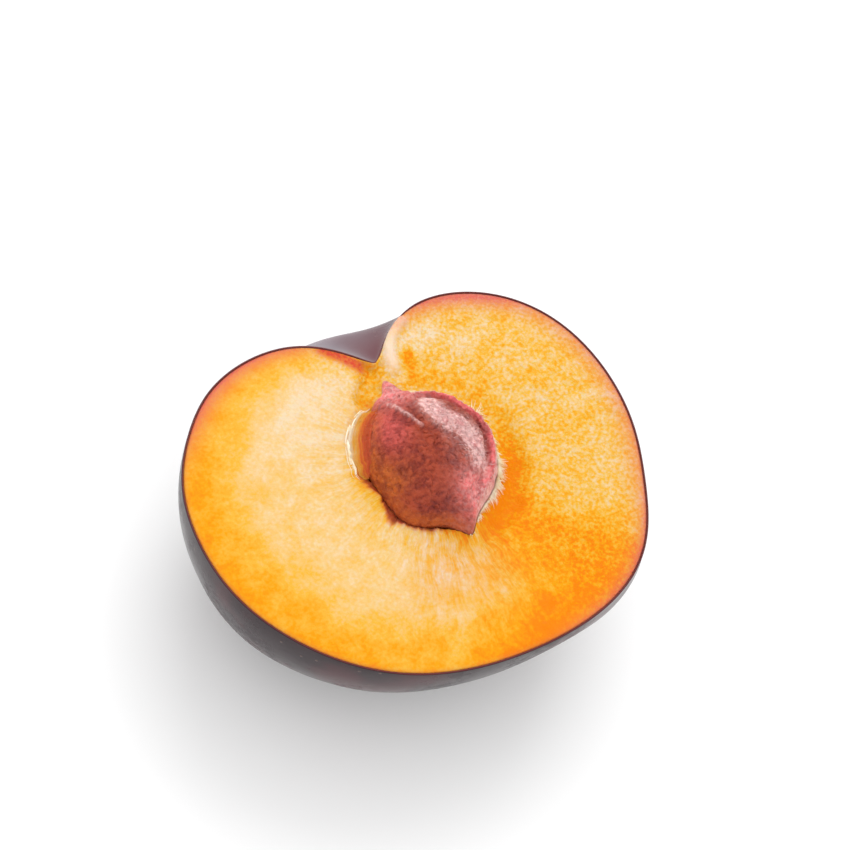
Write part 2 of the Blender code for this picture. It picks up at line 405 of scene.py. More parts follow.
class Modeller:
    """The modelling steps that every piece shares."""

    @staticmethod
    def deselect() -> None:
        """Leaves edit mode and deselects everything."""
        if bpy.context.object and bpy.context.object.mode != "OBJECT":
            bpy.ops.object.mode_set(mode="OBJECT")
        bpy.ops.object.select_all(action="DESELECT")

    @classmethod
    def wrapped(cls, name: str, rows: Array, marks: dict[str, Array]) -> Object:
        """Wraps a grid round the fruit, closes its seam and caps its two ends.

        Args:
            name: Name of the piece.
            rows: Points by row and column; the last column repeats the first.
            marks: Masks with one number for each row.

        Returns:
            The closed piece, shaded smooth, with its faces pointing out.
        """
        cls.deselect()
        count, columns = rows.shape[:2]
        bpy.ops.mesh.primitive_grid_add(x_subdivisions=columns - 1, y_subdivisions=count - 1, size=1.0)
        piece = bpy.context.object
        piece.name = name
        piece.data.name = name
        piece.data.vertices.foreach_set("co", rows.reshape(-1).astype(np.float32))
        piece.data.update()
        for mark, values in marks.items():
            cls.paint(piece, mark, np.repeat(values, columns))
        bpy.ops.object.mode_set(mode="EDIT")
        bpy.ops.mesh.select_all(action="SELECT")
        bpy.ops.mesh.remove_doubles(threshold=1e-7)
        bpy.ops.mesh.select_all(action="DESELECT")
        bpy.ops.mesh.select_mode(type="EDGE")
        bpy.ops.mesh.select_non_manifold(extend=False, use_wire=False, use_multi_face=False,
                                         use_non_contiguous=False, use_verts=False)
        bpy.ops.mesh.edge_face_add()
        return cls.faced_out(piece)

    @staticmethod
    def faced_out(piece: Object) -> Object:
        """Turns the faces of the active piece outwards and shades it smooth.

        Args:
            piece: The active piece.

        Returns:
            The same piece, in object mode.
        """
        bpy.ops.object.mode_set(mode="EDIT")
        bpy.ops.mesh.select_all(action="SELECT")
        bpy.ops.mesh.normals_make_consistent(inside=False)
        bpy.ops.object.mode_set(mode="OBJECT")
        bpy.ops.object.shade_smooth()
        return piece

    @classmethod
    def bundle(cls, name: str, paths: Array, widths: Array) -> Object:
        """Makes one piece out of many thin closed fibres.

        Args:
            name: Name of the piece.
            paths: Points by fibre and by step, from root to tip.
            widths: Half the width of each fibre at each step.

        Returns:
            The piece, shaded smooth, with its faces pointing out.
        """
        sides, flatness = 5, 0.6
        along = np.gradient(paths, axis=1)
        across = np.cross(along, (0.0, 0.0, 1.0))
        across /= np.linalg.norm(across, axis=-1, keepdims=True)
        over = np.cross(across, along)
        over /= np.linalg.norm(over, axis=-1, keepdims=True)
        angle = (np.arange(sides) * math.tau / sides)[:, None]
        spokes = np.cos(angle) * across[:, :, None] + flatness * np.sin(angle) * over[:, :, None]
        points = paths[:, :, None] + widths[:, :, None, None] * spokes
        index = np.arange(points[..., 0].size).reshape(points.shape[:3])
        after = np.roll(index, -1, axis=2)
        quads = np.stack([index[:, :-1], after[:, :-1], after[:, 1:], index[:, 1:]], -1).reshape(-1, 4)
        caps = np.concatenate([index[:, 0, ::-1], index[:, -1]])
        mesh = bpy.data.meshes.new(name)
        mesh.from_pydata(points.reshape(-1, 3).tolist(), [], quads.tolist() + caps.tolist())
        piece = bpy.data.objects.new(name, mesh)
        bpy.context.scene.collection.objects.link(piece)
        cls.deselect()
        piece.select_set(True)
        bpy.context.view_layer.objects.active = piece
        return cls.faced_out(piece)

    @staticmethod
    def surface(piece: Object, places: Array) -> Array:
        """Height of a piece's top at places given by x and y.

        Args:
            piece: The piece.
            places: Rows of x and y.

        Returns:
            The heights; where the piece is missed, the lowest height found.
        """
        down, start = Vector((0.0, 0.0, -1.0)), 0.1
        hits = [piece.ray_cast(Vector((x, y, start)), down) for x, y in places.reshape(-1, 2)]
        heights = np.array([location.z if found else np.nan for found, location, _, _ in hits])
        return np.where(np.isnan(heights), np.nanmin(heights), heights).reshape(places.shape[:-1])

    @staticmethod
    def paint(piece: Object, name: str, values: Array) -> None:
        """Stores one number or one vector for each point of a piece.

        Args:
            piece: The piece.
            name: Name of the attribute.
            values: Numbers, or rows of three.
        """
        kind = "FLOAT" if values.ndim == 1 else "FLOAT_VECTOR"
        stored = piece.data.attributes.new(name, kind, "POINT")
        key = "value" if values.ndim == 1 else "vector"
        stored.data.foreach_set(key, values.astype(np.float32).reshape(-1))

    @staticmethod
    def points(piece: Object) -> Array:
        """Reads the points of a piece.

        Args:
            piece: The piece.

        Returns:
            Its points, one in each row.
        """
        flat = np.zeros(len(piece.data.vertices) * 3)
        piece.data.vertices.foreach_get("co", flat)
        return flat.reshape(-1, 3)

    @staticmethod
    def hand_in(piece: Object, layer: Layer, material: Material) -> None:
        """Gives a piece its material and its body, and logs it.

        Args:
            piece: The finished piece.
            layer: Not used.
            material: Its material.
        """
        piece.data.materials.clear()
        piece.data.materials.append(material)
        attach(piece, "root")
        log.info("%s: %d points, %d faces", piece.name, len(piece.data.vertices), len(piece.data.polygons))


class NodeSheet:
    """A node tree with short calls for the nodes that the finishes use."""

    def __init__(self, tree: NodeTree) -> None:
        """Keeps the tree.

        Args:
            tree: The node tree to fill.
        """
        self.tree = tree

    def add(self, kind: str, **settings: object) -> bpy.types.Node:
        """Adds a node and sets its own options.

        Args:
            kind: Type of the node.
            settings: Its options by name.

        Returns:
            The node.
        """
        node = self.tree.nodes.new(kind)
        for name, value in settings.items():
            setattr(node, name, value)
        return node

    def feed(self, socket: NodeSocket, value: object) -> None:
        """Links a socket to another one, or sets it to a number, vector or colour.

        Args:
            socket: The socket.
            value: The other socket or the value.
        """
        if isinstance(value, NodeSocket):
            self.tree.links.new(value, socket)
        elif isinstance(value, tuple) and len(value) == 3 and socket.type == "RGBA":
            socket.default_value = (*value, 1.0)
        else:
            socket.default_value = value

    def maths(self, operation: str, first: object, second: object) -> NodeSocket:
        """One arithmetic step on two values.

        Args:
            operation: Name of the step.
            first: First value.
            second: Second value.

        Returns:
            The result.
        """
        node = self.add("ShaderNodeMath", operation=operation)
        self.feed(node.inputs[0], first)
        self.feed(node.inputs[1], second)
        return node.outputs[0]

    def times(self, first: object, second: object) -> NodeSocket:
        """The product of two values."""
        return self.maths("MULTIPLY", first, second)

    def remap(
        self, value: object, low: float, high: float, to_low: float = 0.0, to_high: float = 1.0,
    ) -> NodeSocket:
        """Stretches a value smoothly from one range to another, clamped.

        Args:
            value: The value.
            low: Where the first range starts.
            high: Where it ends.
            to_low: What the start becomes.
            to_high: What the end becomes.

        Returns:
            The stretched value.
        """
        node = self.add("ShaderNodeMapRange", interpolation_type="SMOOTHSTEP")
        for socket, number in zip(node.inputs, (value, low, high, to_low, to_high)):
            self.feed(socket, number)
        return node.outputs[0]

    def blend(self, factor: object, first: object, second: object) -> NodeSocket:
        """Mixes two colours.

        Args:
            factor: Share of the second colour.
            first: First colour.
            second: Second colour.

        Returns:
            The mixture.
        """
        node = self.add("ShaderNodeMix", data_type="RGBA", clamp_factor=True)
        self.feed(node.inputs["Factor"], factor)
        self.feed(node.inputs[6], first)
        self.feed(node.inputs[7], second)
        return node.outputs[2]

    def ramp(self, value: object, stages: Sequence[Colour]) -> NodeSocket:
        """Runs through evenly spaced colours as a value goes from 0 to 1.

        Args:
            value: The value.
            stages: The colours.

        Returns:
            The colour.
        """
        node = self.add("ShaderNodeValToRGB")
        stops = node.color_ramp.elements
        for index, stage in enumerate(stages):
            place = index / (len(stages) - 1.0)
            stop = stops[index] if index < 2 else stops.new(place)
            stop.position = place
            stop.color = (*stage, 1.0)
        self.feed(node.inputs["Fac"], value)
        return node.outputs["Color"]

    def noise(
        self, vector: object, scale: object, detail: float = 3.0, roughness: float = 0.55,
    ) -> NodeSocket:
        """Noise from 0 to 1 over a vector.

        Args:
            vector: The vector.
            scale: Cells for each unit.
            detail: How many finer layers it has.
            roughness: How strong the finer layers are.

        Returns:
            The noise.
        """
        node = self.add("ShaderNodeTexNoise", noise_dimensions="3D")
        settings = {"Vector": vector, "Scale": scale, "Detail": detail, "Roughness": roughness}
        for name, value in settings.items():
            self.feed(node.inputs[name], value)
        return node.outputs["Fac"]

    def cells(self, vector: object, scale: float) -> NodeSocket:
        """Distance to the nearest of a scatter of points.

        Args:
            vector: The vector.
            scale: Points for each unit.

        Returns:
            The distance, in cells.
        """
        node = self.add("ShaderNodeTexVoronoi")
        self.feed(node.inputs["Vector"], vector)
        node.inputs["Scale"].default_value = scale
        return node.outputs["Distance"]

    def attribute(self, name: str, vector: bool = False) -> NodeSocket:
        """Reads an attribute of the piece."""
        node = self.add("ShaderNodeAttribute", attribute_name=name)
        return node.outputs["Vector" if vector else "Fac"]

    def grains(
        self, tree: NodeTree, vector: object, scales: tuple[float, float],
    ) -> tuple[NodeSocket, NodeSocket]:
        """Reads a grain group over a vector, at a coarse and at a fine scale.

        Args:
            tree: The group.
            vector: The vector.
            scales: Scale of the coarse grain and of the fine one.

        Returns:
            The coarse and the fine grain.
        """
        node = self.add("ShaderNodeGroup", node_tree=tree)
        for socket, value in zip(node.inputs, (vector, *scales)):
            self.feed(socket, value)
        return node.outputs["Coarse"], node.outputs["Fine"]


def grain_group(name: str, details: tuple[float, float], contrast: float) -> NodeTree:
    """Makes a shader group that reads noise over a vector in two sizes, each stretched to 0 to 1.

    Args:
        name: Name of the group.
        details: Detail of the coarse and of the fine noise.
        contrast: How far from its middle the noise reaches 0 or 1.

    Returns:
        The group, with the inputs Vector, Coarse and Fine and the outputs Coarse and Fine.
    """
    tree = bpy.data.node_groups.new(name, "ShaderNodeTree")
    tree.interface.new_socket(name="Vector", in_out="INPUT", socket_type="NodeSocketVector")
    sizes = ("Coarse", "Fine")
    for size in sizes:
        tree.interface.new_socket(name=size, in_out="INPUT", socket_type="NodeSocketFloat")
        tree.interface.new_socket(name=size, in_out="OUTPUT", socket_type="NodeSocketFloat")
    sheet = NodeSheet(tree)
    given, out = sheet.add("NodeGroupInput"), sheet.add("NodeGroupOutput")
    for size, detail in zip(sizes, details):
        noise = sheet.noise(given.outputs["Vector"], given.outputs[size], detail, roughness=0.5)
        sheet.feed(out.inputs[size], sheet.remap(noise, 0.5 - contrast, 0.5 + contrast))
    return tree


@dataclass(frozen=True)
class Gloss:
    """The constant shader values of a finish."""

    roughness: float
    subsurface: float = 0.0
    radius: Triple = (1.0, 0.3, 0.1)
    scatter: float = 1.0 * MM
    coat: float = 0.0
    coat_roughness: float = 0.1
    specular: float = 0.5


class Finish:
    """A material with a Principled shader, which the finishes below fill in."""

    def __init__(self, name: str, gloss: Gloss) -> None:
        """Starts the material.

        Args:
            name: Name of the material.
            gloss: Its constant shader values.
        """
        self.material = bpy.data.materials.new(name)
        self.material.use_nodes = True
        self.sheet = NodeSheet(self.material.node_tree)
        self.shader = self.material.node_tree.nodes["Principled BSDF"]
        for name, value in (
            ("Roughness", gloss.roughness),
            ("Specular IOR Level", gloss.specular),
            ("Subsurface Weight", gloss.subsurface),
            ("Subsurface Radius", gloss.radius),
            ("Subsurface Scale", gloss.scatter),
            ("Coat Weight", gloss.coat),
            ("Coat Roughness", gloss.coat_roughness),
        ):
            self.shader.inputs[name].default_value = value

    def place(self) -> NodeSocket:
        """The position on the piece."""
        return self.sheet.add("ShaderNodeTexCoord").outputs["Object"]

    def colour(self, value: object) -> None:
        """Feeds the base colour."""
        self.sheet.feed(self.shader.inputs["Base Color"], value)

    def rough(self, value: object) -> None:
        """Feeds the roughness."""
        self.sheet.feed(self.shader.inputs["Roughness"], value)

    def bump(self, height: object, strength: float, distance: float) -> None:
        """Adds a bump from a height between 0 and 1.

        Args:
            height: The height.
            strength: Strength of the bump.
            distance: Depth of a full step, in metres.
        """
        node = self.sheet.add("ShaderNodeBump")
        node.inputs["Strength"].default_value = strength
        node.inputs["Distance"].default_value = distance
        self.sheet.feed(node.inputs["Height"], height)
        self.sheet.feed(self.shader.inputs["Normal"], node.outputs["Normal"])

    def tint(
        self, base: object, mask: str, colour: Colour, grain: object, levels: Sequence[float],
    ) -> NodeSocket:
        """Blends a colour in where a mask of the piece says, broken up by a grain.

        Args:
            base: The colour so far.
            mask: Name of the mask.
            colour: The colour to blend in.
            grain: The grain.
            levels: The grain's low and high, and the share of the mask at each.

        Returns:
            The new colour.
        """
        share = self.sheet.times(self.sheet.attribute(mask), self.sheet.remap(grain, *levels))
        return self.sheet.blend(share, base, colour)


@dataclass(frozen=True)
class FleshFinish:
    """Moist orange flesh: pale and streaked by the stone, deeper outside, blushed under the peel."""

    stages: tuple[Colour, ...] = (
        (0.735, 0.575, 0.375),
        (0.740, 0.488, 0.185),
        (0.750, 0.410, 0.045),
        (0.765, 0.315, 0.002),
        (0.770, 0.205, 0.0),
    )
    pink: Colour = (0.64, 0.140, 0.105)
    red: Colour = (0.60, 0.068, 0.030)
    # Dark brown painted shadow, laid along the torn edge of the stone's hollow and where the membrane meets
    # the stone.
    hollow_shade: Colour = (0.32, 0.050, 0.022)
    # Pale cream painted highlight on the lit lip beside the notch and on the membrane's lit outer edge.
    painted_highlight: Colour = (0.750, 0.600, 0.450)
    gloss: Gloss = Gloss(0.40, subsurface=0.25, radius=(1.0, 0.42, 0.12), scatter=1.2 * MM, specular=0.06)
    patch_scales: tuple[float, float] = (330.0, 1900.0)
    grit_scales: tuple[float, float] = (2200.0, 3400.0)
    strand_scales: tuple[float, float] = (1.0, 2.9)
    bump_depth: float = 0.10 * MM

    def build(self, mottle: NodeTree, fibres: NodeTree) -> Material:
        """Builds the material.

        Args:
            mottle: The group of soft patches.
            fibres: The group of long fibres.

        Returns:
            The material.
        """
        finish = Finish("plum flesh", self.gloss)
        sheet, place = finish.sheet, finish.place()
        patch, speck = sheet.grains(mottle, place, self.patch_scales)
        grit, grain = sheet.grains(mottle, place, self.grit_scales)
        strand, fine = sheet.grains(fibres, sheet.attribute("fibre", vector=True), self.strand_scales)
        coarse, streak, ripe = (sheet.attribute(name) for name in ("coarse", "streak", "ripe"))
        for value, amount in (
            (patch, 0.22),
            (speck, 0.08),
            (grit, sheet.times(coarse, 0.46)),
            (strand, sheet.times(streak, -0.36)),
            (fine, sheet.times(streak, -0.26)),
        ):
            ripe = sheet.maths("ADD", ripe, sheet.times(sheet.maths("SUBTRACT", value, 0.5), amount))
        base = sheet.ramp(ripe, self.stages)
        base = finish.tint(base, "blush", self.pink, grain, (0.0, 1.0, 0.85, 1.1))
        base = finish.tint(base, "flush", self.red, grit, (0.0, 1.0, 1.1, 0.75))
        # Painted shadow: dark brown at the hollow's torn edge and at the membrane's inner end.
        base = finish.tint(base, "hollow_shade", self.hollow_shade, grain, (0.0, 1.0, 1.0, 0.8))
        # Painted highlight: pale cream on the lip and on the membrane's outer edge.
        finish.colour(finish.tint(base, "painted_highlight", self.painted_highlight, grain, (0.0, 1.0, 1.05, 0.8)))
        finish.rough(sheet.remap(grain, 0.0, 1.0, 0.32, 0.50))
        height = sheet.maths("ADD", sheet.times(grain, coarse), sheet.times(fine, streak))
        finish.bump(height, 0.6, self.bump_depth)
        return finish.material


@dataclass(frozen=True)
class PeelFinish:
    """Near-black purple peel with a grey-blue bloom, tiny pale dots, a maroon cut edge and a painted grey
    sheen in the stem cavity.
    """

    dark: Colour = (0.020, 0.008, 0.011)
    wine: Colour = (0.055, 0.012, 0.016)
    bloom: Colour = (0.140, 0.120, 0.140)
    dot: Colour = (0.200, 0.130, 0.100)
    cut: Colour = (0.120, 0.020, 0.018)
    warm: Colour = (0.130, 0.025, 0.030)
    # Light grey-violet painted sheen on the peel in the stem cavity.
    sheen_grey: Colour = (0.330, 0.285, 0.320)
    gloss: Gloss = Gloss(0.26, coat=0.03, coat_roughness=0.12, specular=0.16)
    scales: tuple[float, float] = (90.0, 900.0)
    cloud_scale: float = 60.0
    dot_scale: float = 520.0
    dot_strength: float = 0.38
    bloom_strength: float = 0.04
    bump_depth: float = 0.05 * MM

    def build(self, mottle: NodeTree) -> Material:
        """Builds the material.

        Args:
            mottle: The group of soft patches.

        Returns:
            The material.
        """
        finish = Finish("plum peel", self.gloss)
        sheet, place = finish.sheet, finish.place()
        patch, grain = sheet.grains(mottle, place, self.scales)
        base = sheet.blend(sheet.remap(patch, 0.35, 1.0), self.dark, self.wine)
        cloud = sheet.noise(place, self.cloud_scale, detail=5.0, roughness=0.6)
        film = sheet.times(sheet.remap(cloud, 0.35, 0.75), sheet.remap(grain, 0.0, 1.0, 0.5, 1.0))
        base = sheet.blend(sheet.times(film, self.bloom_strength), base, self.bloom)
        dots = sheet.remap(sheet.cells(place, self.dot_scale), 0.13, 0.07)
        base = sheet.blend(sheet.times(dots, self.dot_strength), base, self.dot)
        # Painted sheen: grey-violet over the peel in the stem cavity.
        base = finish.tint(base, "painted_sheen", self.sheen_grey, cloud, (0.30, 0.70, 0.65, 1.0))
        base = sheet.blend(sheet.attribute("wine"), base, self.warm)
        finish.colour(sheet.blend(sheet.attribute("cut_edge"), base, self.cut))
        finish.rough(sheet.remap(film, 0.0, 1.0, 0.20, 0.42))
        finish.bump(sheet.maths("ADD", dots, sheet.times(grain, 0.25)), 0.25, self.bump_depth)
        return finish.material


@dataclass(frozen=True)
class StoneFinish:
    """Rough red-brown stone, pink at its nub and keel, with pale fuzz and a painted sheen on one shoulder,
    and painted shade in its pits.
    """

    brown: Colour = (0.36, 0.056, 0.024)
    dark: Colour = (0.19, 0.022, 0.014)
    pink: Colour = (0.80, 0.135, 0.140)
    # Pale pink: the fuzz's colour, and painted sheen on the shoulder, the keel's edge and the first vein.
    pale: Colour = (0.88, 0.55, 0.52)
    amber: Colour = (0.54, 0.130, 0.018)
    gloss: Gloss = Gloss(0.50, subsurface=0.15, radius=(1.0, 0.3, 0.2), scatter=0.8 * MM, specular=0.20)
    patch_scales: tuple[float, float] = (420.0, 2400.0)
    grit_scales: tuple[float, float] = (1300.0, 4200.0)
    pit_scale: float = 1100.0
    # How much darker the pits are painted: painted shade in the hollows.
    pit_shade: float = 0.18
    bump_depth: float = 0.14 * MM

    def build(self, mottle: NodeTree) -> Material:
        """Builds the material.

        Args:
            mottle: The group of soft patches.

        Returns:
            The material.
        """
        finish = Finish("plum stone", self.gloss)
        sheet, place = finish.sheet, finish.place()
        patch, grain = sheet.grains(mottle, place, self.patch_scales)
        grit, _ = sheet.grains(mottle, place, self.grit_scales)
        shade = sheet.maths("ADD", sheet.times(patch, 0.5), sheet.times(grit, 0.5))
        base = sheet.blend(sheet.remap(shade, 0.2, 0.9), self.brown, self.dark)
        base = finish.tint(base, "pinkness", self.pink, shade, (0.1, 0.9, 1.2, 0.45))
        base = finish.tint(base, "amber", self.amber, shade, (0.1, 0.9, 1.1, 0.4))
        # Pale fuzz colour and painted sheen over the upper right shoulder, the keel's edge and the first
        # vein.
        base = finish.tint(base, "fuzz_and_sheen", self.pale, grain, (0.15, 0.85, 0.55, 1.4))
        pits = sheet.remap(sheet.cells(place, self.pit_scale), 0.10, 0.42)
        # Painted shade: the pits are darkened.
        hollow = sheet.times(sheet.maths("SUBTRACT", 1.0, pits), self.pit_shade)
        finish.colour(sheet.blend(hollow, base, self.dark))
        finish.rough(sheet.remap(grain, 0.0, 1.0, 0.42, 0.70))
        finish.bump(sheet.maths("ADD", pits, sheet.times(grain, 0.8)), 0.9, self.bump_depth)
        return finish.material


@dataclass(frozen=True)
class StrandFinish:
    """Torn fibres, in two shades."""

    name: str
    light: Colour
    dark: Colour
    gloss: Gloss = Gloss(0.45, specular=0.20)
    scale: float = 700.0

    def build(self) -> Material:
        """Builds the material.

        Returns:
            The material.
        """
        finish = Finish(self.name, self.gloss)
        sheet = finish.sheet
        mottled = sheet.remap(sheet.noise(finish.place(), self.scale), 0.40, 0.75)
        finish.colour(sheet.blend(mottled, self.light, self.dark))
        return finish.material


@dataclass
class Shell:
    """A closed piece wound from rows of points in the frame of the cut, with masks for its finish."""

    name: ClassVar[str]
    layer: ClassVar[Layer]
    stands_in: ClassVar[bool] = True
    form: FruitForm

    @staticmethod
    def turns(columns: int, crowding: float) -> Array:
        """Angles round the face, closer together at the notch; the last repeats the first."""
        even = np.linspace(0.0, math.tau, columns + 1)
        return even + crowding * np.cos(even)

    def falls(self, places: Array, power: float) -> Array:
        """Angles down the back, from 0 at the cut to the flat spot, for places from 0 to 1."""
        return math.acos(self.form.flat_radius / self.form.half_width) * places ** power

    def rows(self) -> Array:
        """The points by row and column; each shell has its own."""
        raise NotImplementedError

    def marks(self, count: int) -> dict[str, Array]:
        """Masks that give one number for each row."""
        return {}

    def masks(self, points: Array) -> dict[str, Array]:
        """Masks worked out from the points; each shell has its own."""
        raise NotImplementedError

    def build(self, material: Material) -> Object:
        """Builds the piece and hands it in, in place of its node where it stands in for one.

        Args:
            material: Its material.

        Returns:
            The piece.
        """
        rows = self.form.to_part(self.rows())
        piece = Modeller.wrapped(self.name, rows, self.marks(len(rows)))
        for name, values in self.masks(self.form.to_cut(Modeller.points(piece))).items():
            Modeller.paint(piece, name, values)
        Modeller.hand_in(piece, self.layer, material)
        if self.stands_in:
            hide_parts(self.layer.value)
        return piece


@dataclass
class Peel(Shell):
    """The thin peel: a bowl with a rounded cut edge."""

    name: ClassVar[str] = "peel"
    layer: ClassVar[Layer] = Layer.PEEL
    thickness: float = 0.22 * MM
    columns: int = 360
    outer_rows: int = 110
    inner_rows: int = 24
    bevel: float = 0.09 * MM
    waviness: float = 0.12 * MM
    sag: Patch = Patch(0.35 * MM, 79, 11)
    edge_shares: tuple[float, ...] = (0.33, 0.66, 1.0)
    bevel_angles: tuple[float, ...] = (30.0, 60.0, 90.0)
    grain: Grain = field(default_factory=lambda: Grain(3))

    def wall(self, turn: Array, fall: float, depth: float) -> Array:
        """One row of points at a depth under the slightly uneven outside.

        Args:
            turn: Angles round the face.
            fall: Angle down from the cut.
            depth: How far under the outside.

        Returns:
            The row of points.
        """
        fall_row = np.full_like(turn, fall)
        points = self.form.inset(turn, fall_row, depth)
        swell = self.grain.layered(*(points / (9.0 * MM)).T, layers=2)
        near_flat = step_up(0.1 * MM, 3.5 * MM, points[:, 2] + self.form.face_height)
        uneven = step_up(0.0, 0.6, fall_row) - swell * step_up(0.0, 0.12, fall_row)
        points = self.form.inset(turn, fall_row, depth + self.waviness * near_flat * uneven)
        if fall == 0.0:
            points[:, 2] = 0.0
        return points

    def rows(self) -> Array:
        """All rows from the inside of the bottom, over the cut edge, to the outside of the bottom.

        Returns:
            The points by row and column.
        """
        turn = self.turns(self.columns, 0.45)
        inner = self.falls(np.linspace(1.0, 0.0, self.inner_rows), 1.25)
        outer = self.falls(np.linspace(0.0, 1.0, self.outer_rows)[1:], 1.35)
        made = [self.wall(turn, fall, self.thickness) for fall in inner]
        made += [self.wall(turn, 0.0, mixed(self.thickness, self.bevel, share)) for share in self.edge_shares]
        for angle in np.radians(self.bevel_angles):
            row = self.wall(turn, 0.0, self.bevel * (1.0 - math.sin(angle)))
            row[:, 2] = -self.bevel * (1.0 - math.cos(angle))
            made.append(row)
        below_bevel = outer[outer * self.form.depth > 1.6 * self.bevel]
        made += [self.wall(turn, fall, 0.0) for fall in below_bevel]
        points = np.stack(made)
        points[..., 2] -= self.sag.at(turn) * np.clip(1.0 + points[..., 2] / (3.0 * MM), 0.0, 1.0)
        return points

    def marks(self, count: int) -> dict[str, Array]:
        """How much each row belongs to the cut edge.

        Args:
            count: Number of rows.

        Returns:
            The mask by name.
        """
        flat = [1.0] * (1 + len(self.edge_shares))
        edge = np.concatenate([flat, 1.0 - np.sin(np.radians(self.bevel_angles))])
        start = self.inner_rows - 1
        return {"cut_edge": np.pad(edge, (start, count - start - len(edge)))}

    def masks(self, points: Array) -> dict[str, Array]:
        """Where the peel is wine red, and where a grey-violet painted sheen lies on it, at the stem cavity.

        Args:
            points: Points of the piece, in the frame of the cut.

        Returns:
            The masks by name.
        """
        x, y, z = points.T
        wine = step_up(-6.0 * MM, -0.5 * MM, z) * sector(np.arctan2(y, x - 4.0 * MM), 95, 11)
        # The grey-violet in the stem cavity is a painted sheen.
        painted_sheen = step_up(9.0 * MM, 12.5 * MM, y) * bell(x + 3.5 * MM, 9.0 * MM, 4.0)
        return {"wine": 0.8 * wine, "painted_sheen": 0.85 * painted_sheen * step_up(-9.0 * MM, -5.0 * MM, z)}


